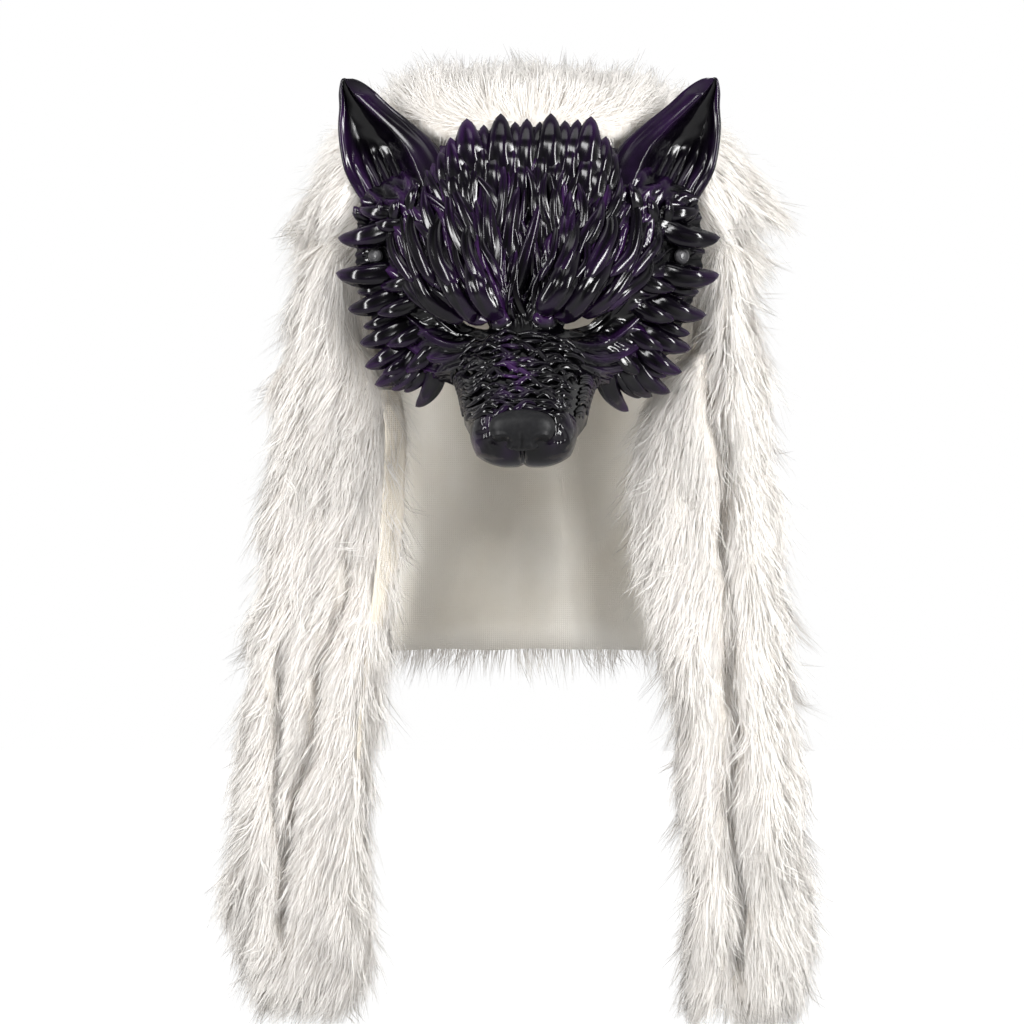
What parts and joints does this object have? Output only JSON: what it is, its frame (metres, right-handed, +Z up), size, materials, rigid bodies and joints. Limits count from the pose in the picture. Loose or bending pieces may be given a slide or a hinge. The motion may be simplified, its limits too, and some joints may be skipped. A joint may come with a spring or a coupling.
{
  "type": "wolf mask with fur hood",
  "caption": "Moulded wolf half mask with upright ears, eye openings and a black nose, on a long white fur hood with two hanging side panels.",
  "frame": {"origin": "inside of the hood's crown, where the top of the wearer's head rests", "axes": "+Z up through the crown, -Y the way the face looks, +X to the viewer's right when the face looks at the viewer"},
  "size_m": [0.3547, 0.3333, 0.5637],
  "materials": {
    "foam": "glossy dark purple-black coat over moulded foam",
    "nose_pad": "matte black",
    "rivet": "black satin",
    "backing": "cream woven back of the fur cloth",
    "fur": "long white pile with dark grey tips",
    "facing": "smooth cream cloth"
  },
  "bodies": {
    "root": {"mask_face": "foam", "nose": "nose_pad", "rivet_left": "rivet", "rivet_right": "rivet", "hood_backing": "backing", "hood_fur": "fur", "panel_left": "fur", "panel_right": "fur", "facing_left": "facing"}
  },
  "joints": []
}
